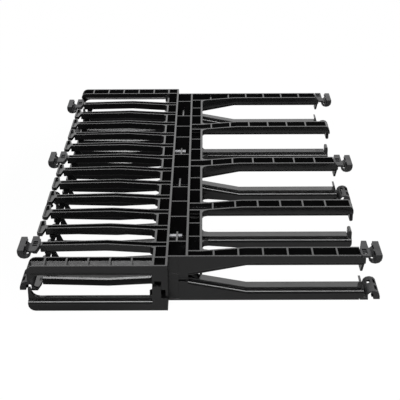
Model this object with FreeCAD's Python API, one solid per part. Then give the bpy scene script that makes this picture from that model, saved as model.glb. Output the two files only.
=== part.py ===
import FreeCAD, Part
import math
import os

# Horizontal cable manager for a 19-inch rack, one unit high, with fingers at the front and rear.
# All sizes are in millimetres. +X runs along the rack, -Y is the front and +Z is up.
# Y = 0 is the plane that meets the rack rails, Z = 0 is the plane where the two halves meet.
# Every half is drawn as the upper one. The lower one is the same moulding turned over about Y.

# Rack standard
PANEL_WIDTH = 482.6
RACK_UNIT = 44.45
UNIT_CLEARANCE = 0.75
HOLE_FROM_UNIT_EDGE = 6.35
SLOT_FROM_SIDE = 8.75
SLOT_RADIUS = 3.4
SLOT_LENGTH = 10.0

# Moulded walls
WALL = 2.0
RIB = 1.6
CORNER_RADIUS = 3.2
CORNER_FACETS = 1
REAR_CORNER_RADIUS = 6.0
REAR_CORNER_FACETS = 2
SHOULDER = 3.2
SHOULDER_FACETS = 4
TAB_GAP = 4.0

# Front fingers
FINGER_COUNT = 12
FINGER_NECK_WIDTH = 7.6
FINGER_ROOT_WIDTH = 9.7
FINGER_HEIGHT = 7.5
FINGER_BEVEL = 1.5
FINGER_PEAK = 42.0
FRONT_DROP = 1.95
PEAK_RISE = 1.35
ROOT_FALL = 1.05
FRONT_REACH = 122.0
FRONT_ROOT = 13.5
HEAD_SLIT = 7.5
HEAD_DEPTH = 6.7
HEAD_EDGE = 5.0
HEAD_HEIGHT = 3.4
HEAD_FLOOR = 1.0
HEAD_ROUND = 2.0
TAB_SETBACK = 3.7
TAB_BASE = 7.0
TAB_TIP = 2.0
TAB_THICKNESS = 3.0

# End fingers of the front module, one on each rack ear
EAR_WIDTH = 18.0
END_WALL_HEIGHT = 9.0
END_LEDGE = 4.0
END_STEP = 2.0
END_CREST = 4.0
END_INNER_WALL = 5.0
END_TIP_RADIUS = 6.5
END_TIP_FACETS = 4
END_RIB_COUNT = 5
END_RIB_PITCH = 18.9
END_RIB_FIRST = 14.5
END_TAB_TIP = 2.2
END_TAB_CURVE = 8.0
END_TAB_FACETS = 4

# Zig-zag lock between the halves at the ears
LOCK_SPLIT = 5.65
LOCK_CLEARANCE = 0.3
LOCK_REAR_TONGUE = 1.5
LOCK_FRONT_TONGUE = 1.8
LOCK_FRONT_NOTCH = 6.8
LOCK_REAR_NOTCH = 9.8

# Middle column and rear rail
MIDDLE_DEPTH = 15.5
REAR_ROOT = 29.7
ROOT_DROP = 3.0
MIDDLE_RIB_STATIONS = (0.5, 2.0, 3.0, 4.0, 5.5)
POCKETS_PER_GAP = 3
END_SEAT = 9.0
END_PANEL_RECESS = 0.4
END_PANEL_MARGIN = 1.8

# Rear fingers
REAR_SHARES = (-1.0, -0.52, 0.0, 0.52, 1.0)
REAR_REACH = 173.0
REAR_WIDTH = 18.0
REAR_HEIGHT = 9.0
REAR_STEP = 2.0
REAR_LEDGE = 4.0
KNEE = 69.0
GUSSET_ROOT = 3.0
REAR_RIB_COUNT = 6
REAR_RIB_FIRST = 40.0
REAR_RIB_PITCH = 21.7
REAR_TAB_GAP = 10.8
REAR_TAB_LEAN = 2.2
REAR_TAB_WIDTH = 12.0
TIP_ROUND = 4.0
TIP_FACETS = 3
HOOK_REACH = 2.2
HOOK_THICKNESS = 3.4
HOOK_ROUND = 1.4
HOOK_WIDTH = 12.0

# Hinge clips
PLATE_LENGTH = 30.0
PLATE_DEPTH = 8.0
PLATE_THICKNESS = 2.0
PLATE_FLAT = 9.0
PLATE_SLOPE = 0.2
WINDOW_LENGTH = 10.0
WINDOW_DEPTH = 4.2
WINDOW_BARS = (-3.0, 0.2)
BAR_WIDTH = 1.3
BAR_DROP = 0.8
TONGUE_WIDTH = 4.0
TONGUE_DEPTH = 1.8
CLIP_CLEARANCE = 0.3
CUP_LENGTH = 28.0
CUP_DEPTH = 8.2
CUP_ARM = 1.8
CUP_FLOOR = 1.8
CUP_ROUND = 5.5
CUP_FACETS = 3
ROD_GAP = 5.0
GROOVE_CHAMFER = 1.8
BLOCK_DEPTH = 5.6
CUP_RECESSES = 2
CUP_BAND = 4.0
RECESS_WALL = 1.4
CUP_WINDOW_STATION = 4.5
CUP_WINDOW_LENGTH = 5.0
CUP_WINDOW_MARGIN = 1.0
SNAP_STATIONS = (-7.8, 3.6)
SNAP_LENGTH = 4.0
SNAP_DEPTH = 1.2
SNAP_HEIGHT = 1.6

# Joining screws
SCREW_STATIONS = (4.8, -1.22)
SCREW_DROP = 7.0
SCREW_RADIUS = 2.0
SCREW_SIDES = 16
SCREW_END = 11.5
THREAD_CLEARANCE = 0.05
BOSS_PLANE = 7.0
BOSS_MARGIN = 3.2

# Worked out from the sizes above
RIM = (RACK_UNIT - UNIT_CLEARANCE) / 2
PANEL_SIDE = PANEL_WIDTH / 2
REAR_SIDE = PANEL_SIDE - EAR_WIDTH
SLOT_HEIGHT = RACK_UNIT / 2 - HOLE_FROM_UNIT_EDGE
SLOT_X = PANEL_SIDE - SLOT_FROM_SIDE
TAB_END = TAB_GAP / 2
REAR_TAB_END = REAR_TAB_GAP / 2
FRONT_RIM = RIM - FRONT_DROP
PEAK_RIM = FRONT_RIM + PEAK_RISE
ROOT_RIM = FRONT_RIM - ROOT_FALL
FINGER_UNDER = FRONT_RIM - FINGER_HEIGHT
ROOT_UNDER = ROOT_RIM - FINGER_HEIGHT
NECK_Y = HEAD_DEPTH - FRONT_REACH
PEAK_Y = -FRONT_ROOT - FINGER_PEAK
FINGER_RIM_LINE = [(NECK_Y, FRONT_RIM), (PEAK_Y, PEAK_RIM), (-FRONT_ROOT, ROOT_RIM)]
MIDDLE_WALL_REAR = MIDDLE_DEPTH + WALL
REAR_UNDER = RIM - REAR_HEIGHT
REAR_OUTER = REAR_SIDE - REAR_WIDTH / 2
SCREW_HEIGHT = RIM - SCREW_DROP
PAST = 1.0

FINGER_GAP = (2 * REAR_SIDE - FINGER_COUNT * FINGER_ROOT_WIDTH) / (FINGER_COUNT + 1)
FINGER_PITCH = FINGER_ROOT_WIDTH + FINGER_GAP
FINGER_XS = [(i - (FINGER_COUNT - 1) / 2) * FINGER_PITCH for i in range(FINGER_COUNT)]
FRONT_CLIP_XS = [FINGER_XS[0], FINGER_XS[FINGER_COUNT // 2 - 1], FINGER_XS[-1]]
REAR_XS = [share * REAR_OUTER for share in REAR_SHARES]
GUSSET_XS = REAR_XS[::2]
CLIP_SIDE_LIMIT = REAR_SIDE - PLATE_LENGTH / 2
REAR_CLIP_XS = [max(-CLIP_SIDE_LIMIT, min(CLIP_SIDE_LIMIT, x)) for x in GUSSET_XS]
REAR_CLIP_Y = REAR_REACH - WALL - CLIP_CLEARANCE - TONGUE_DEPTH
FRONT_CLIP_Y = PLATE_DEPTH - CUP_ARM - CLIP_CLEARANCE - FRONT_REACH
TONGUE_HEIGHT = HEAD_HEIGHT - PLATE_THICKNESS
SCREW_XS = [station * FINGER_PITCH for station in SCREW_STATIONS]


def point(x, y, z):
    return FreeCAD.Vector(x, y, z)


def block(x0, x1, y0, y1, z0, z1):
    return Part.makeBox(x1 - x0, y1 - y0, z1 - z0, point(x0, y0, z0))


def outline(corners, place):
    """Closed face through the corners."""
    points = [place(*corner) for corner in corners]
    return Part.Face(Part.makePolygon(points + points[:1]))


def plan_prism(corners, z0, z1):
    """Prism with an (X, Y) outline, from z0 up to z1."""
    face = outline(corners, lambda x, y: point(x, y, z0))
    return face.extrude(point(0, 0, z1 - z0))


def side_prism(corners, x0, x1):
    """Prism with a (Y, Z) outline, from x0 to x1."""
    face = outline(corners, lambda y, z: point(x0, y, z))
    return face.extrude(point(x1 - x0, 0, 0))


def end_prism(corners, y0, y1):
    """Prism with an (X, Z) outline, from y0 to y1."""
    face = outline(corners, lambda x, z: point(x, y0, z))
    return face.extrude(point(0, y1 - y0, 0))


def eased_corner(a, b, a_way, b_way, radius, facets):
    """Corner at (a, b) rounded by flat facets, from its start along a_way to its end along b_way."""
    points = []
    for i in range(facets + 1):
        turn = math.radians(90) * i / facets
        along_a = radius * (1 - math.sin(turn))
        along_b = radius * (1 - math.cos(turn))
        points.append((a + a_way * along_a, b + b_way * along_b))
    return points


def slot_corner(x, y, x_way, y_way, radius, facets, z0, z1):
    """Fill that eases the inside corner at (x, y), open towards x_way and y_way."""
    curve = eased_corner(x, y, x_way, y_way, radius, facets)
    return plan_prism([(x, y)] + curve, z0, z1)


def edge_tools(path, inward, radius, facets):
    """Tools that ease a lower outer edge along a path of points, with the solid on the inward side in X."""
    tools = []
    for start, end in zip(path, path[1:]):
        curve = eased_corner(start.x, start.z, inward, 1, radius, facets)
        face = outline([(start.x, start.z)] + curve, lambda x, z: point(x, start.y, z))
        tools.append(face.extrude(end - start))
    return tools


def joined(solids):
    return solids[0].multiFuse(solids[1:]).removeSplitter()


def raised(line, amount):
    return [(y, z + amount) for y, z in line]


def turned_over(shape):
    lower = shape.copy()
    lower.rotate(point(0, 0, 0), point(0, 1, 0), 180)
    return lower


def finger_head(x):
    """T-shaped head at the tip of a front finger: a hollow tray, or a slotted seat under a hinge clip."""
    half_length = (FINGER_PITCH - HEAD_SLIT) / 2
    half_neck = FINGER_NECK_WIDTH / 2
    tip = -FRONT_REACH
    under = FRONT_RIM - HEAD_HEIGHT
    corners = eased_corner(x - half_length, tip, 1, 1, HEAD_ROUND, CORNER_FACETS)[::-1]
    corners += eased_corner(x + half_length, tip, -1, 1, HEAD_ROUND, CORNER_FACETS)
    corners += [
        (x + half_length, tip + HEAD_EDGE),
        (x + half_neck, NECK_Y),
        (x - half_neck, NECK_Y),
        (x - half_length, tip + HEAD_EDGE),
    ]
    if x in FRONT_CLIP_XS:
        slot_half = TONGUE_WIDTH / 2 + CLIP_CLEARANCE
        slot_end = FRONT_CLIP_Y + CLIP_CLEARANCE
        slot_start = FRONT_CLIP_Y - TONGUE_DEPTH - CLIP_CLEARANCE
        slot = block(x - slot_half, x + slot_half, slot_start, slot_end, 0, RIM)
        return plan_prism(corners, under, FRONT_RIM - PLATE_THICKNESS).cut(slot)
    tray = plan_prism(corners, under, FRONT_RIM)
    rim = Part.makePolygon([point(a, b, under + HEAD_FLOOR) for a, b in corners + corners[:1]])
    hollow = Part.Face(rim.makeOffset2D(-RIB, 2)).extrude(point(0, 0, HEAD_HEIGHT))
    return tray.cut(hollow)


def finger_half_width(y):
    """Half the width of a front finger, which grows evenly from neck to root."""
    share = (y - NECK_Y) / (-FRONT_ROOT - NECK_Y)
    return (FINGER_NECK_WIDTH + share * (FINGER_ROOT_WIDTH - FINGER_NECK_WIDTH)) / 2


def bowed(x, over, under, inset):
    """Tapered bar from neck to root between two depths below the bowed rim, narrowed by inset at each side."""
    half_neck = finger_half_width(NECK_Y) - inset
    half_root = finger_half_width(-FRONT_ROOT) - inset
    plan = [
        (x - half_neck, NECK_Y),
        (x + half_neck, NECK_Y),
        (x + half_root, -FRONT_ROOT),
        (x - half_root, -FRONT_ROOT),
    ]
    profile = raised(FINGER_RIM_LINE, -under) + raised(FINGER_RIM_LINE, -over)[::-1]
    return side_prism(profile, x - half_root, x + half_root).common(plan_prism(plan, 0, RIM + PAST))


def finger_bevels(x):
    """Tools that bevel the two lower edges of a front finger."""
    tools = []
    for side in (-1, 1):
        lower_edge = raised(FINGER_RIM_LINE, -FINGER_HEIGHT)
        path = [point(x + side * finger_half_width(y), y, z) for y, z in lower_edge]
        tools += edge_tools(path, -side, FINGER_BEVEL, 1)
    return tools


def front_finger(x):
    """Bowed channel that widens to its root, with its head and its cable retaining tab."""
    half = FINGER_ROOT_WIDTH / 2
    end_wall = block(x - half, x + half, NECK_Y, NECK_Y + RIB, 0, RIM + PAST)
    channel = bowed(x, -PAST, FINGER_HEIGHT - RIB, RIB).cut(end_wall)
    tab_front = NECK_Y + TAB_SETBACK
    tab_base = FINGER_UNDER + RIB / 2
    tab = side_prism(
        [
            (tab_front, tab_base),
            (tab_front + TAB_BASE, tab_base),
            (tab_front + TAB_TIP, TAB_END),
            (tab_front, TAB_END),
        ],
        x - TAB_THICKNESS / 2,
        x + TAB_THICKNESS / 2,
    )
    bar = bowed(x, 0, FINGER_HEIGHT, 0).cut([channel] + finger_bevels(x))
    return joined([bar, finger_head(x), tab])


def end_finger(side):
    """Wide channel on a rack ear, with a sloped floor, cross ribs, a curved tab and its root plate.

    Its section is drawn as (distance in from the panel's side, distance down from the rim).
    """

    def place(across, down):
        return side * (PANEL_SIDE - across), RIM - down

    crest = END_LEDGE + END_CREST
    step_under = END_WALL_HEIGHT + END_STEP
    shoulder = eased_corner(0, END_WALL_HEIGHT, 1, -1, SHOULDER, SHOULDER_FACETS)
    section = [(0, 0)] + shoulder[::-1]
    section += [
        (END_LEDGE, END_WALL_HEIGHT),
        (END_LEDGE, step_under),
        (crest, step_under),
        (EAR_WIDTH, END_INNER_WALL),
        (EAR_WIDTH, 0),
    ]
    hollow = [
        (WALL, -PAST),
        (WALL, END_WALL_HEIGHT - WALL),
        (END_LEDGE + WALL, END_WALL_HEIGHT - WALL),
        (END_LEDGE + WALL, step_under - WALL),
        (crest, step_under - WALL),
        (EAR_WIDTH - RIB, END_INNER_WALL - RIB),
        (EAR_WIDTH - RIB, -PAST),
    ]
    bar = end_prism([place(*p) for p in section], -FRONT_REACH, -FRONT_ROOT)
    channel = end_prism([place(*p) for p in hollow], WALL - FRONT_REACH, -FRONT_ROOT)
    low_x, high_x = sorted((side * REAR_SIDE, side * PANEL_SIDE))
    inner_wall = sorted((side * REAR_SIDE, side * (REAR_SIDE + WALL)))
    root_plate = sorted((side * REAR_SIDE, side * (PANEL_SIDE - WALL)))
    for i in range(END_RIB_COUNT):
        rib_y = END_RIB_FIRST + i * END_RIB_PITCH - FRONT_REACH
        channel = channel.cut(block(low_x, high_x, rib_y, rib_y + RIB, 0, RIM))
    tip_curve = eased_corner(-FRONT_REACH, RIM, 1, -1, END_TIP_RADIUS, END_TIP_FACETS)
    side_view = [(-FRONT_REACH, 0), (-FRONT_ROOT, 0), (-FRONT_ROOT, RIM)] + tip_curve
    pieces = [bar.cut(channel).common(side_prism(side_view, low_x, high_x))]

    tab_x = sorted(place(across, 0)[0] for across in (END_LEDGE, crest))
    base = RIM - step_under + WALL / 2
    tab_inside = END_TAB_TIP - FRONT_REACH
    tab_curve = eased_corner(tab_inside, RIM - step_under, 1, -1, END_TAB_CURVE, END_TAB_FACETS)
    tab_corners = [(-FRONT_REACH, base), (-FRONT_REACH, TAB_END), (tab_inside, TAB_END)]
    tab_corners += tab_curve[::-1] + [(tab_inside + END_TAB_CURVE, base)]
    pieces.append(side_prism(tab_corners, *tab_x))
    pieces.append(block(*root_plate, -FRONT_ROOT, WALL - FRONT_ROOT, 0, RIM))
    pieces.append(block(*inner_wall, -FRONT_ROOT, -WALL, 0, RIM))
    return pieces


def ear_lock(side):
    """Root plate at the end of the front rail, cut to lock into the other half's plate."""
    front_low = LOCK_FRONT_NOTCH if side > 0 else -LOCK_FRONT_TONGUE
    rear_low = -LOCK_REAR_TONGUE if side > 0 else LOCK_REAR_NOTCH
    split = -LOCK_SPLIT + side * LOCK_CLEARANCE / 2
    corners = [
        (-FRONT_ROOT, RIM),
        (-FRONT_ROOT, front_low),
        (split, front_low),
        (split, rear_low),
        (0, rear_low),
        (0, RIM),
    ]
    edges = sorted((side * PANEL_SIDE, side * (PANEL_SIDE - WALL)))
    return side_prism(corners, *edges)


def rack_slot(x):
    """Tool that cuts a round-ended slot for a rack screw through the rail's rear wall."""
    straight = SLOT_LENGTH / 2 - SLOT_RADIUS
    bottom, top = SLOT_HEIGHT - SLOT_RADIUS, SLOT_HEIGHT + SLOT_RADIUS
    slot = block(x - straight, x + straight, -WALL - PAST, PAST, bottom, top)
    for end_x in (x - straight, x + straight):
        start = point(end_x, -WALL - PAST, SLOT_HEIGHT)
        slot = slot.fuse(Part.makeCylinder(SLOT_RADIUS, WALL + 2 * PAST, start, point(0, 1, 0)))
    return slot.removeSplitter()


def screw_bar(x, radius, y0, y1):
    """Bar with as many sides as a joining screw and its hole are drawn with, from y0 to y1."""
    turns = [math.radians(360) * i / SCREW_SIDES for i in range(SCREW_SIDES)]
    corners = [(x + radius * math.cos(turn), SCREW_HEIGHT + radius * math.sin(turn)) for turn in turns]
    return end_prism(corners, y0, y1)


def screw_hole(x, y0, y1):
    """Tool that cuts the hole of a joining screw, from y0 to y1."""
    return screw_bar(x, SCREW_RADIUS + THREAD_CLEARANCE, y0, y1)


def front_half():
    """Front rail with the ribs that carry its fingers, its ears and the holes for rack and joining screws."""
    inside = PANEL_SIDE - WALL
    pieces = [
        block(-inside, inside, -WALL, 0, 0, RIM),
        block(-inside, inside, -FRONT_ROOT, 0, 0, WALL),
        block(-REAR_SIDE, REAR_SIDE, -FRONT_ROOT, WALL - FRONT_ROOT, 0, ROOT_UNDER + RIB),
    ]
    half = FINGER_ROOT_WIDTH / 2
    starts = [-REAR_SIDE] + [x + half for x in FINGER_XS]
    ends = [x - half for x in FINGER_XS] + [REAR_SIDE]
    for start, end in zip(starts, ends):
        pieces.append(block(start, end, -FRONT_ROOT, WALL - FRONT_ROOT, 0, ROOT_RIM))
        for x, x_way in ((start, 1), (end, -1)):
            corner = (x, -FRONT_ROOT, x_way, -1, CORNER_RADIUS, CORNER_FACETS)
            pieces.append(slot_corner(*corner, ROOT_UNDER, ROOT_RIM))
    for x in FINGER_XS:
        for rib_x in (x - half, x + half - RIB):
            pieces.append(block(rib_x, rib_x + RIB, -FRONT_ROOT, -WALL, 0, ROOT_RIM))
    for side in (-1, 1):
        pieces += end_finger(side)
        pieces.append(ear_lock(side))
    body = joined(pieces)
    cuts = [rack_slot(side * SLOT_X) for side in (-1, 1)]
    cuts += [screw_hole(x, -WALL - PAST, PAST) for x in SCREW_XS]
    return body.cut(cuts)


def under_line(gusset):
    """Lower edge of a rear finger's side walls, from the middle wall to the tip."""
    tip = (REAR_REACH - WALL, REAR_UNDER)
    if gusset:
        return [(MIDDLE_WALL_REAR, GUSSET_ROOT), (KNEE, REAR_UNDER), tip]
    return [(MIDDLE_WALL_REAR, REAR_UNDER), tip]


def shoulder_tools(x, line):
    """Tools that round the two lower outer edges of a rear finger, past its tip."""
    ends = line[:-1] + [(REAR_REACH + HOOK_REACH + PAST, line[-1][1])]
    tools = []
    for side in (-1, 1):
        path = [point(x + side * REAR_WIDTH / 2, y, z) for y, z in ends]
        tools += edge_tools(path, -side, SHOULDER, SHOULDER_FACETS)
    return tools


def leaning_tip(x):
    """End plate of a rear finger under a hinge clip, and the thin tab that leans inwards below it."""
    half = REAR_WIDTH / 2
    start = REAR_REACH - WALL
    lean_start = REAR_UNDER + REAR_STEP
    plate = block(x - half, x + half, start, REAR_REACH, REAR_UNDER, RIM - PLATE_THICKNESS)
    tab_corners = [
        (start, lean_start),
        (REAR_REACH, lean_start),
        (REAR_REACH - REAR_TAB_LEAN, REAR_TAB_END),
        (start - REAR_TAB_LEAN, REAR_TAB_END),
    ]
    return plate, side_prism(tab_corners, x - REAR_TAB_WIDTH / 2, x + REAR_TAB_WIDTH / 2)


def hooked_tip(x):
    """End wall of a plain rear finger, rounded over at its rim, and the thick hook that runs down from it."""
    half = REAR_WIDTH / 2
    start = REAR_REACH - WALL
    end = REAR_REACH + HOOK_REACH
    inner = end - HOOK_THICKNESS
    rim_curve = eased_corner(end, RIM, -1, -1, TIP_ROUND, TIP_FACETS)
    tip = side_prism([(start, RIM)] + rim_curve + [(end, REAR_UNDER), (start, REAR_UNDER)], x - half, x + half)
    pocket = block(x - half + WALL, x + half - WALL, start, inner, REAR_UNDER + WALL, RIM + PAST)
    outer_curve = eased_corner(end, REAR_TAB_END, -1, 1, HOOK_ROUND, TIP_FACETS)
    inner_curve = eased_corner(inner, REAR_TAB_END, 1, 1, HOOK_ROUND, TIP_FACETS)
    root = REAR_UNDER + WALL / 2
    hook_corners = [(inner, root)] + inner_curve[::-1] + outer_curve + [(end, root)]
    return tip.cut(pocket), side_prism(hook_corners, x - HOOK_WIDTH / 2, x + HOOK_WIDTH / 2)


def rear_finger(x, gusset):
    """Wide open channel with round shoulders, a stepped underside and cross ribs, from middle wall to tip."""
    half = REAR_WIDTH / 2
    line = under_line(gusset)
    top = [(line[-1][0], RIM), (line[0][0], RIM)]
    over = [(line[-1][0], RIM + PAST), (line[0][0], RIM + PAST)]
    walls = side_prism(line + top, x - half, x + half)
    channel = side_prism(raised(line, WALL) + over, x - half + WALL, x + half - WALL)
    for i in range(REAR_RIB_COUNT):
        rib_y = REAR_RIB_FIRST + i * REAR_RIB_PITCH
        channel = channel.cut(block(x - half, x + half, rib_y - RIB / 2, rib_y + RIB / 2, 0, RIM))
    step_half = half - REAR_LEDGE
    lower = raised(line, -REAR_STEP)
    step = side_prism(lower + raised(line, WALL / 2)[::-1], x - step_half, x + step_half)
    end_wall, tab = leaning_tip(x) if gusset else hooked_tip(x)
    rounding = shoulder_tools(x, line)
    return [walls.cut([channel] + rounding), end_wall.cut(rounding), step, tab]


def rear_end(side):
    """End wall of the middle column, open below near the middle wall."""
    corners = [
        (0, 0),
        (END_SEAT, 0),
        (END_SEAT, GUSSET_ROOT),
        (MIDDLE_WALL_REAR, GUSSET_ROOT),
        (MIDDLE_WALL_REAR, RIM),
        (0, RIM),
    ]
    edges = sorted((side * REAR_SIDE, side * (REAR_SIDE - WALL)))
    wall = side_prism(corners, *edges)
    panel_x = sorted((side * (REAR_SIDE - END_PANEL_RECESS), side * (REAR_SIDE + PAST)))
    panel = block(*panel_x, -PAST, END_SEAT, GUSSET_ROOT + END_PANEL_MARGIN, RIM - END_PANEL_MARGIN)
    return wall.cut(panel)


def screw_boss(x, toward):
    """Gusset that a joining screw bites into, falling from the rim of the next rib of the middle column."""
    end = x - math.copysign(BOSS_MARGIN, toward - x)
    corners = [(end, 0), (toward, 0), (toward, RIM), (end, SCREW_HEIGHT + BOSS_MARGIN)]
    return end_prism(corners, BOSS_PLANE - RIB / 2, BOSS_PLANE + RIB / 2)


def rear_half():
    """Rear moulding: middle column, rear rail and five wide fingers."""
    inside = REAR_SIDE - WALL
    pieces = [
        block(-inside, inside, MIDDLE_DEPTH, MIDDLE_WALL_REAR, 0, RIM),
        block(-inside, inside, 0, MIDDLE_DEPTH, 0, WALL),
    ]
    rib_xs = [side * s * FINGER_PITCH for s in MIDDLE_RIB_STATIONS for side in (-1, 1)]
    rib_xs = [x for x in rib_xs if abs(x) < inside]
    for x in rib_xs:
        pieces.append(block(x - RIB / 2, x + RIB / 2, 0, MIDDLE_DEPTH, 0, RIM))
    for x in SCREW_XS:
        pieces.append(screw_boss(x, min(rib for rib in rib_xs + [inside] if rib > x)))
        pieces.append(screw_boss(-x, min(rib for rib in rib_xs + [inside] if rib > -x)))
    half = REAR_WIDTH / 2
    for left, right in zip(REAR_XS, REAR_XS[1:]):
        start, end = left + half, right - half
        pieces.append(block(start, end, MIDDLE_WALL_REAR, REAR_ROOT, 0, WALL))
        pieces.append(block(start, end, REAR_ROOT - WALL, REAR_ROOT, 0, RIM))
        for x, x_way in ((start, 1), (end, -1)):
            corner = (x, REAR_ROOT, x_way, 1, REAR_CORNER_RADIUS, REAR_CORNER_FACETS)
            pieces.append(slot_corner(*corner, REAR_UNDER, RIM))
        pocket = (end - start) / POCKETS_PER_GAP
        for i in range(1, POCKETS_PER_GAP):
            rib_x = start + i * pocket
            pieces.append(block(rib_x - RIB / 2, rib_x + RIB / 2, MIDDLE_WALL_REAR, REAR_ROOT, 0, RIM))
    for x in REAR_XS:
        gusset = x in GUSSET_XS
        pieces += rear_finger(x, gusset)
        if not gusset:
            pieces.append(block(x - half, x + half, REAR_ROOT - WALL, REAR_ROOT, 0, REAR_UNDER + WALL / 2))
    for side in (-1, 1):
        pieces.append(rear_end(side))
    body = joined(pieces)
    low_rim = [
        (MIDDLE_WALL_REAR, RIM - ROOT_DROP),
        (REAR_ROOT, RIM - ROOT_DROP),
        (KNEE, RIM),
        (KNEE, RIM + PAST),
        (MIDDLE_WALL_REAR, RIM + PAST),
    ]
    cuts = [side_prism(low_rim, -inside, inside)]
    for x in SCREW_XS:
        cuts.append(screw_hole(x, BOSS_PLANE - RIB, BOSS_PLANE + RIB))
    seat_floor = RIM - PLATE_THICKNESS
    for x in GUSSET_XS:
        cuts.append(block(x - half, x + half, REAR_CLIP_Y, REAR_REACH, seat_floor, RIM + PAST))
    return body.cut(cuts)


def clip_plate(seat_x):
    """Plate of a hinge clip with its window and locating tongue, both centred on the finger at seat_x."""
    half = PLATE_LENGTH / 2
    flat_left, flat_right = seat_x - PLATE_FLAT / 2, seat_x + PLATE_FLAT / 2
    corners = [
        (half, PLATE_DEPTH),
        (-half, PLATE_DEPTH),
        (-half, PLATE_SLOPE * (flat_left + half)),
        (flat_left, 0),
        (flat_right, 0),
        (half, PLATE_SLOPE * (half - flat_right)),
    ]
    plate = plan_prism(corners, -PLATE_THICKNESS, 0)
    window_y = (PLATE_DEPTH - WINDOW_DEPTH) / 2
    window_end = window_y + WINDOW_DEPTH
    window_left, window_right = seat_x - WINDOW_LENGTH / 2, seat_x + WINDOW_LENGTH / 2
    window = block(window_left, window_right, window_y, window_end, -PLATE_THICKNESS, PAST)
    for bar in WINDOW_BARS:
        bar_x = seat_x + bar - BAR_WIDTH / 2
        solid_bar = block(bar_x, bar_x + BAR_WIDTH, window_y, window_end, -PLATE_THICKNESS, -BAR_DROP)
        window = window.cut(solid_bar)
    tongue_left, tongue_right = seat_x - TONGUE_WIDTH / 2, seat_x + TONGUE_WIDTH / 2
    tongue_bottom = -PLATE_THICKNESS - TONGUE_HEIGHT
    tongue = block(tongue_left, tongue_right, 0, TONGUE_DEPTH, tongue_bottom, -PLATE_THICKNESS)
    return [plate.cut(window), tongue]


def rod_cup():
    """Round-bottomed cup of a hinge clip, open upwards for the rod of a cover, with its two snaps."""
    half = CUP_LENGTH / 2
    arm_y = PLATE_DEPTH - CUP_ARM
    block_y = PLATE_DEPTH + ROD_GAP
    outer_y = block_y + BLOCK_DEPTH
    groove_floor = CUP_FLOOR - CUP_DEPTH
    arm_curve = eased_corner(arm_y, -CUP_DEPTH, 1, 1, CUP_ROUND, CUP_FACETS)
    block_curve = eased_corner(outer_y, -CUP_DEPTH, -1, 1, CUP_ROUND, CUP_FACETS)
    cup = side_prism([(arm_y, 0)] + arm_curve[::-1] + block_curve + [(outer_y, 0)], -half, half)
    groove_corners = [
        (PLATE_DEPTH, PAST),
        (PLATE_DEPTH, groove_floor + GROOVE_CHAMFER),
        (PLATE_DEPTH + GROOVE_CHAMFER, groove_floor),
        (block_y - GROOVE_CHAMFER, groove_floor),
        (block_y, groove_floor + GROOVE_CHAMFER),
        (block_y, PAST),
    ]
    cuts = [side_prism(groove_corners, -half - PAST, half + PAST)]
    recess_pitch = (CUP_LENGTH - CUP_BAND) / CUP_RECESSES
    recess_y = block_y + RECESS_WALL
    for i in range(CUP_RECESSES):
        start = CUP_BAND - half + i * recess_pitch
        end = start + recess_pitch - CUP_BAND
        cuts.append(block(start, end, recess_y, outer_y - CUP_ARM, -CUP_DEPTH - PAST, -CUP_DEPTH / 2))
    window_start = CUP_WINDOW_STATION - CUP_WINDOW_LENGTH / 2
    window_end = CUP_WINDOW_STATION + CUP_WINDOW_LENGTH / 2
    window_y = (PLATE_DEPTH + CUP_WINDOW_MARGIN, block_y - CUP_WINDOW_MARGIN)
    cuts.append(block(window_start, window_end, *window_y, -CUP_DEPTH - PAST, 0))
    pieces = [cup.cut(cuts)]
    for x in SNAP_STATIONS:
        snap_left, snap_right = x - SNAP_LENGTH / 2, x + SNAP_LENGTH / 2
        pieces.append(block(snap_left, snap_right, block_y - SNAP_DEPTH, block_y, -SNAP_HEIGHT, 0))
    return pieces


def hinge_clip(seat_x):
    """Clip with its plate from y = 0 outwards and its top at z = 0."""
    return joined(clip_plate(seat_x) + rod_cup())


def front_clip(x):
    clip = hinge_clip(0).mirror(point(0, 0, 0), point(0, 1, 0))
    clip.translate(point(x, FRONT_CLIP_Y, FRONT_RIM))
    return clip


def rear_clip(x, finger_x):
    clip = hinge_clip(finger_x - x)
    clip.translate(point(x, REAR_CLIP_Y, RIM))
    return clip


def joining_screw(x):
    """Headless screw from the front rail's wall through a gusset of the middle column."""
    return screw_bar(x, SCREW_RADIUS, -WALL, SCREW_END)


def save(name, shape):
    shape.exportStep(os.path.join("parts", name + ".step"))


os.makedirs("parts", exist_ok=True)
front = front_half()
rear = rear_half()
save("front_upper_frame", front)
save("front_lower_frame", turned_over(front))
save("rear_upper_frame", rear)
save("rear_lower_frame", turned_over(rear))
for number, x in enumerate(FINGER_XS, 1):
    finger = front_finger(x)
    save(f"front_upper_finger_{number}", finger)
    save(f"front_lower_finger_{FINGER_COUNT + 1 - number}", turned_over(finger))
places = ("left", "centre", "right")
clip_rows = {
    "front": [front_clip(x) for x in FRONT_CLIP_XS],
    "rear": [rear_clip(x, finger_x) for x, finger_x in zip(REAR_CLIP_XS, GUSSET_XS)],
}
for row, clips in clip_rows.items():
    for place_name, lower_name, clip in zip(places, places[::-1], clips):
        save(f"{row}_upper_{place_name}_hinge_clip", clip)
        save(f"{row}_lower_{lower_name}_hinge_clip", turned_over(clip))
for number, x in enumerate(SCREW_XS, 1):
    screw = joining_screw(x)
    save(f"upper_joining_screw_{number}", screw)
    save(f"lower_joining_screw_{number}", turned_over(screw))
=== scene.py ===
import math

import bpy
from mathutils import Matrix, Vector


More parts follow.
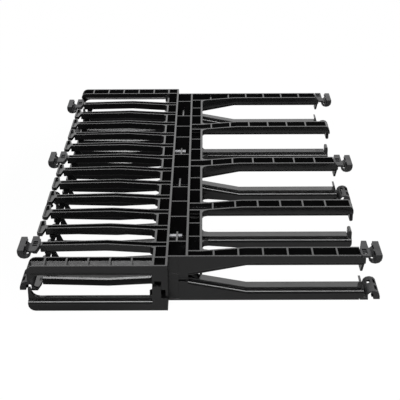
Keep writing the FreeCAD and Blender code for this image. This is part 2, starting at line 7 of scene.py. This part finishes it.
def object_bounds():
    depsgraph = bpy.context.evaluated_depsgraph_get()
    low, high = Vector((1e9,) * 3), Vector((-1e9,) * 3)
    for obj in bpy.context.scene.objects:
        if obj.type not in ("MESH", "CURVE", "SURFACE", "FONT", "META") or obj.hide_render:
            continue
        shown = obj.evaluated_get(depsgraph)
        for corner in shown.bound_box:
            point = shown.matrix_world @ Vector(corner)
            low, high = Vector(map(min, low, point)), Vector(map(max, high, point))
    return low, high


# Looks of the horizontal cable manager: moulded black plastic and zinc-plated screws on a white floor.
# All lengths are in metres, in the same frame as the solids.

WHITE = (1, 1, 1, 1)

# Camera fitted to the photograph
CAMERA_PLACE = Vector((1.0610, 0.0330, 0.4504))
CAMERA_YAW = math.radians(-0.32)
CAMERA_PITCH = math.radians(24.10)
CAMERA_ROLL = math.radians(-0.32)
FOCAL_PIXELS = 1077.8
IMAGE_PIXELS = 400
SENSOR_WIDTH = 36.0

# Rounding of the moulded edges
WELD_DISTANCE = 1e-6
FLAT_ANGLE = math.radians(1)
EDGE_ANGLE = math.radians(32)
EDGE_ROUND = 0.00022
EDGE_SEGMENTS = 2

# Unevenness of the surfaces: noise scales are per metre
NOISE_LOW = 0.3
NOISE_HIGH = 0.7
TONE_SCALE = 28.0
TONE_DETAIL = 4.0
GLOSS_SCALE = 90.0
GLOSS_DETAIL = 3.0
GRAIN_DETAIL = 2.0
GRAIN_DEPTH = 0.0001
ZINC_TONE_SCALE = 400.0
ZINC_TONE_DETAIL = 3.0
ZINC_GLOSS_SCALE = 200.0
ZINC_GLOSS_DETAIL = 2.0

# Floor: it glows white to the camera, is grey to bouncing light and mostly grey to mirror rays; shade is
# painted into its colour below the front fingers
FLOOR_SIZE = 6.0
FLOOR_DROP = 0.0002
FLOOR_GLOW = 1.03
FLOOR_GLOW_SHARE = 0.96
FLOOR_MIRROR_SHARE = 0.05
FLOOR_PALE = (0.5, 0.5, 0.5)
# Painted shade: the floor's darker colour below the front fingers, where it lies and how far it reaches
FLOOR_SHADED = (0.06, 0.06, 0.06)
SHADE_PLACE = (0.0, -0.09, 0.0)
SHADE_REACH = (0.30, 0.15, 1.0)
SHADE_EDGE = 0.35

# Sky: in mirror rays its white fades with a direction's X, to the camera's end, and its Z, to the ceiling
SKY_FILL = 0.12
BACKDROP_FULL = 0.0
BACKDROP_END = 0.35
CEILING_START = 0.60
CEILING_FULL = 0.80
CEILING_SHARE = 0.15

# Soft boxes, which all face the origin
KEY_PLACE = (0.72, 0.0, 1.5)
KEY_SIZE = (0.9, 0.55)
KEY_POWER = 25.0
FILL_PLACE = (1.2, -0.8, 0.9)
FILL_SIZE = (0.9, 0.9)
FILL_POWER = 2.0
BACK_PLACE = (-1.5, 0.0, 0.75)
BACK_SIZE = (1.4, 0.6)
BACK_POWER = 1.0


def add_node(tree, kind, inputs=None, **settings):
    """New node with its settings, and with values for the inputs that are named."""
    node = tree.nodes.new(kind)
    for name, value in settings.items():
        setattr(node, name, value)
    for name, value in (inputs or {}).items():
        node.inputs[name].default_value = value
    return node


def empty_material(name):
    """Material with nothing but its output node."""
    material = bpy.data.materials.new(name)
    material.use_nodes = True
    tree = material.node_tree
    tree.nodes.clear()
    output = add_node(tree, "ShaderNodeOutputMaterial")
    return material, tree, output


def map_range(tree, value, start, end, first, last):
    """First up to the start of a range, last from its end on, and a straight line between them."""
    node = add_node(
        tree,
        "ShaderNodeMapRange",
        inputs={"From Min": start, "From Max": end, "To Min": first, "To Max": last},
    )
    tree.links.new(value, node.inputs["Value"])
    return node.outputs["Result"]


def noise(tree, coordinates, scale, detail):
    node = add_node(tree, "ShaderNodeTexNoise", inputs={"Scale": scale, "Detail": detail})
    tree.links.new(coordinates, node.inputs["Vector"])
    return node.outputs["Fac"]


def clouds(tree, coordinates, scale, detail, low, high):
    """Noise with the middle of its range spread over low to high."""
    return map_range(tree, noise(tree, coordinates, scale, detail), NOISE_LOW, NOISE_HIGH, low, high)


def blended_colour(tree, value, first, last):
    """First where value is 0, last where it is 1."""
    node = add_node(tree, "ShaderNodeMix", data_type="RGBA", inputs={"A": (*first, 1), "B": (*last, 1)})
    tree.links.new(value, node.inputs["Factor"])
    return node.outputs["Result"]


def bumped(tree, height, strength):
    node = add_node(tree, "ShaderNodeBump", inputs={"Strength": strength, "Distance": GRAIN_DEPTH})
    tree.links.new(height, node.inputs["Height"])
    return node.outputs["Normal"]


def moulded_plastic(name, dark, light, roughness, grain_scale, grain_strength):
    """Moulded plastic with a fine spark-eroded grain, cloudy tone and uneven gloss."""
    material, tree, output = empty_material(name)
    coordinates = add_node(tree, "ShaderNodeTexCoord").outputs["Object"]
    shader = add_node(tree, "ShaderNodeBsdfPrincipled")
    tone = clouds(tree, coordinates, TONE_SCALE, TONE_DETAIL, 0.0, 1.0)
    tree.links.new(blended_colour(tree, tone, dark, light), shader.inputs["Base Color"])
    gloss = clouds(tree, coordinates, GLOSS_SCALE, GLOSS_DETAIL, *roughness)
    tree.links.new(gloss, shader.inputs["Roughness"])
    grain = noise(tree, coordinates, grain_scale, GRAIN_DETAIL)
    tree.links.new(bumped(tree, grain, grain_strength), shader.inputs["Normal"])
    tree.links.new(shader.outputs["BSDF"], output.inputs["Surface"])
    return material


def zinc_plate(name, dark, light, roughness):
    """Dull zinc plate on steel, with faint clouds in its tone and gloss."""
    material, tree, output = empty_material(name)
    coordinates = add_node(tree, "ShaderNodeTexCoord").outputs["Object"]
    shader = add_node(tree, "ShaderNodeBsdfPrincipled", inputs={"Metallic": 1.0})
    tone = clouds(tree, coordinates, ZINC_TONE_SCALE, ZINC_TONE_DETAIL, 0.0, 1.0)
    tree.links.new(blended_colour(tree, tone, dark, light), shader.inputs["Base Color"])
    gloss = clouds(tree, coordinates, ZINC_GLOSS_SCALE, ZINC_GLOSS_DETAIL, *roughness)
    tree.links.new(gloss, shader.inputs["Roughness"])
    tree.links.new(shader.outputs["BSDF"], output.inputs["Surface"])
    return material


def seen_directly(tree):
    """1 for rays from the camera and see-through rays, 0 for the light that bounces.

    For mirror rays it is the share that goes into the input returned beside it.
    """
    path = add_node(tree, "ShaderNodeLightPath")
    straight = add_node(tree, "ShaderNodeMath", operation="MAXIMUM")
    tree.links.new(path.outputs["Is Camera Ray"], straight.inputs[0])
    tree.links.new(path.outputs["Is Transmission Ray"], straight.inputs[1])
    seen = add_node(tree, "ShaderNodeMath", operation="MULTIPLY_ADD")
    mirror, mirror_share, rest = seen.inputs
    tree.links.new(path.outputs["Is Glossy Ray"], mirror)
    tree.links.new(straight.outputs["Value"], rest)
    return seen.outputs["Value"], mirror_share


def painted_shade_below_fingers(tree):
    """Painted shade: 1 on the floor below the close front fingers, falling to 0 round them."""
    spot = add_node(
        tree,
        "ShaderNodeMapping",
        vector_type="TEXTURE",
        inputs={"Location": SHADE_PLACE, "Scale": SHADE_REACH},
    )
    tree.links.new(add_node(tree, "ShaderNodeTexCoord").outputs["Object"], spot.inputs["Vector"])
    ball = add_node(tree, "ShaderNodeTexGradient", gradient_type="SPHERICAL")
    tree.links.new(spot.outputs["Vector"], ball.inputs["Vector"])
    return map_range(tree, ball.outputs["Fac"], 0.0, SHADE_EDGE, 0.0, 1.0)


def white_floor(name):
    """Pale floor that looks white, with a faint trace of the object's real shadow and of the shade
    painted below the front fingers.
    """
    material, tree, output = empty_material(name)
    diffuse = add_node(tree, "ShaderNodeBsdfDiffuse")
    # Painted shade: the floor's colour turns darker below the front fingers
    colour = blended_colour(tree, painted_shade_below_fingers(tree), FLOOR_PALE, FLOOR_SHADED)
    tree.links.new(colour, diffuse.inputs["Color"])
    glow = add_node(tree, "ShaderNodeEmission", inputs={"Color": WHITE, "Strength": FLOOR_GLOW})
    seen, mirror_share = seen_directly(tree)
    mirror_share.default_value = FLOOR_MIRROR_SHARE
    glow_share = add_node(tree, "ShaderNodeMath", operation="MULTIPLY")
    glow_share.inputs[1].default_value = FLOOR_GLOW_SHARE
    tree.links.new(seen, glow_share.inputs[0])
    mix = add_node(tree, "ShaderNodeMixShader")
    tree.links.new(glow_share.outputs["Value"], mix.inputs["Fac"])
    tree.links.new(diffuse.outputs["BSDF"], mix.inputs[1])
    tree.links.new(glow.outputs["Emission"], mix.inputs[2])
    tree.links.new(mix.outputs["Shader"], output.inputs["Surface"])
    return material


def smooth_facets():
    """Modifier tree that shades the facets of a round as one smooth face, and keeps edges sharp."""
    tree = bpy.data.node_groups.new("smooth_facets", "GeometryNodeTree")
    tree.interface.new_socket("Geometry", in_out="INPUT", socket_type="NodeSocketGeometry")
    tree.interface.new_socket("Geometry", in_out="OUTPUT", socket_type="NodeSocketGeometry")
    angle = add_node(tree, "GeometryNodeInputMeshEdgeAngle")
    sharp = add_node(tree, "FunctionNodeCompare", operation="GREATER_THAN", inputs={"B": EDGE_ANGLE})
    tree.links.new(angle.outputs["Unsigned Angle"], sharp.inputs["A"])
    plain = add_node(tree, "GeometryNodeRemoveAttribute", inputs={"Name": "custom_normal"})
    faces = add_node(tree, "GeometryNodeSetShadeSmooth", domain="FACE", inputs={"Shade Smooth": True})
    edges = add_node(tree, "GeometryNodeSetShadeSmooth", domain="EDGE", inputs={"Shade Smooth": False})
    tree.links.new(sharp.outputs["Result"], edges.inputs["Selection"])
    geometry = add_node(tree, "NodeGroupInput").outputs["Geometry"]
    for step in (plain, faces, edges):
        tree.links.new(geometry, step.inputs["Geometry"])
        geometry = step.outputs["Geometry"]
    tree.links.new(geometry, add_node(tree, "NodeGroupOutput").inputs["Geometry"])
    return tree


def round_edges(piece, facet_shading):
    """Welds the solid's facets, joins the flat ones and rounds the edges as a mould does."""
    piece.modifiers.new("weld", "WELD").merge_threshold = WELD_DISTANCE
    flat = piece.modifiers.new("flat_faces", "DECIMATE")
    flat.decimate_type = "DISSOLVE"
    flat.angle_limit = FLAT_ANGLE
    piece.modifiers.new("smooth_facets", "NODES").node_group = facet_shading
    edges = piece.modifiers.new("edges", "BEVEL")
    edges.limit_method = "ANGLE"
    edges.angle_limit = EDGE_ANGLE
    edges.width = EDGE_ROUND
    edges.segments = EDGE_SEGMENTS
    edges.use_clamp_overlap = True
    edges.harden_normals = True


def make_camera():
    """Camera that looks along -X and down, turned by the fitted yaw, pitch and roll."""
    cos_pitch, sin_pitch = math.cos(CAMERA_PITCH), math.sin(CAMERA_PITCH)
    cos_yaw, sin_yaw = math.cos(CAMERA_YAW), math.sin(CAMERA_YAW)
    cos_roll, sin_roll = math.cos(CAMERA_ROLL), math.sin(CAMERA_ROLL)
    forward = Vector((-cos_pitch * cos_yaw, cos_pitch * sin_yaw, -sin_pitch))
    level = Vector((sin_yaw, cos_yaw, 0))
    upright = level.cross(forward)
    right = cos_roll * level + sin_roll * upright
    up = cos_roll * upright - sin_roll * level
    data = bpy.data.cameras.new("camera")
    data.sensor_width = SENSOR_WIDTH
    data.lens = FOCAL_PIXELS / IMAGE_PIXELS * SENSOR_WIDTH
    camera = bpy.data.objects.new("camera", data)
    turn = Matrix((right, up, -forward)).transposed().to_4x4()
    camera.matrix_world = Matrix.Translation(CAMERA_PLACE) @ turn
    bpy.context.scene.collection.objects.link(camera)
    bpy.context.scene.camera = camera


def soft_box(name, place, size, power):
    """Rectangular lamp that faces the origin."""
    data = bpy.data.lights.new(name, "AREA")
    data.shape = "RECTANGLE"
    data.size, data.size_y = size
    data.energy = power
    lamp = bpy.data.objects.new(name, data)
    lamp.location = place
    lamp.rotation_euler = (-Vector(place)).to_track_quat("-Z", "Y").to_euler()
    bpy.context.scene.collection.objects.link(lamp)


def make_floor(height):
    half = FLOOR_SIZE / 2
    corners = [(-half, -half, 0), (half, -half, 0), (half, half, 0), (-half, half, 0)]
    mesh = bpy.data.meshes.new("floor")
    mesh.from_pydata(corners, [], [(0, 1, 2, 3)])
    mesh.materials.append(white_floor("white_floor"))
    floor = bpy.data.objects.new("floor", mesh)
    floor.location.z = height
    bpy.context.scene.collection.objects.link(floor)


def make_sky():
    """White to look at. In mirror rays only the backdrop is white: ceiling and camera's end are dark."""
    world = bpy.data.worlds.new("studio")
    bpy.context.scene.world = world
    world.use_nodes = True
    tree = world.node_tree
    tree.nodes.clear()
    output = add_node(tree, "ShaderNodeOutputWorld")
    white = add_node(tree, "ShaderNodeBackground", inputs={"Color": WHITE, "Strength": 1.0})
    fill = add_node(tree, "ShaderNodeBackground", inputs={"Color": WHITE, "Strength": SKY_FILL})
    direction = add_node(tree, "ShaderNodeSeparateXYZ")
    tree.links.new(add_node(tree, "ShaderNodeTexCoord").outputs["Generated"], direction.inputs["Vector"])
    backdrop = map_range(tree, direction.outputs["X"], BACKDROP_FULL, BACKDROP_END, 1.0, 0.0)
    ceiling = map_range(tree, direction.outputs["Z"], CEILING_START, CEILING_FULL, 1.0, CEILING_SHARE)
    share = add_node(tree, "ShaderNodeMath", operation="MULTIPLY")
    tree.links.new(backdrop, share.inputs[0])
    tree.links.new(ceiling, share.inputs[1])
    seen, mirror_share = seen_directly(tree)
    tree.links.new(share.outputs["Value"], mirror_share)
    mix = add_node(tree, "ShaderNodeMixShader")
    tree.links.new(seen, mix.inputs["Fac"])
    tree.links.new(fill.outputs["Background"], mix.inputs[1])
    tree.links.new(white.outputs["Background"], mix.inputs[2])
    tree.links.new(mix.outputs["Shader"], output.inputs["Surface"])


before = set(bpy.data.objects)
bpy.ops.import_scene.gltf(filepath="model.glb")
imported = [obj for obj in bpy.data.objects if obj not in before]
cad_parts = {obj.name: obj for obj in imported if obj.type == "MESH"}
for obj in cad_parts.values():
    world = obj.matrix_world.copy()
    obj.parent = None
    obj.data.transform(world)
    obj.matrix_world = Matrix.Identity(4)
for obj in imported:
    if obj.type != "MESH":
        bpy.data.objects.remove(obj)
cad_low, cad_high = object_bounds()
facet_shading = smooth_facets()

frame_plastic = moulded_plastic(
    "black_plastic",
    dark=(0.0040, 0.0040, 0.0042),
    light=(0.0070, 0.0070, 0.0073),
    roughness=(0.18, 0.24),
    grain_scale=2600.0,
    grain_strength=0.01,
)
clip_plastic = moulded_plastic(
    "clip_plastic",
    dark=(0.014, 0.014, 0.015),
    light=(0.024, 0.024, 0.025),
    roughness=(0.42, 0.54),
    grain_scale=1700.0,
    grain_strength=0.15,
)
zinc = zinc_plate(
    "zinc_steel",
    dark=(0.36, 0.37, 0.39),
    light=(0.46, 0.46, 0.47),
    roughness=(0.66, 0.72),
)
for name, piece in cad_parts.items():
    if "_joining_screw_" in name:
        material = zinc
    elif name.endswith("_hinge_clip"):
        material = clip_plastic
    else:
        material = frame_plastic
    piece.data.materials.clear()
    piece.data.materials.append(material)
    round_edges(piece, facet_shading)

make_camera()
make_sky()
make_floor(cad_low.z - FLOOR_DROP)
soft_box("key", KEY_PLACE, KEY_SIZE, KEY_POWER)
soft_box("fill", FILL_PLACE, FILL_SIZE, FILL_POWER)
soft_box("back", BACK_PLACE, BACK_SIZE, BACK_POWER)
bpy.context.scene.view_settings.view_transform = "Standard"
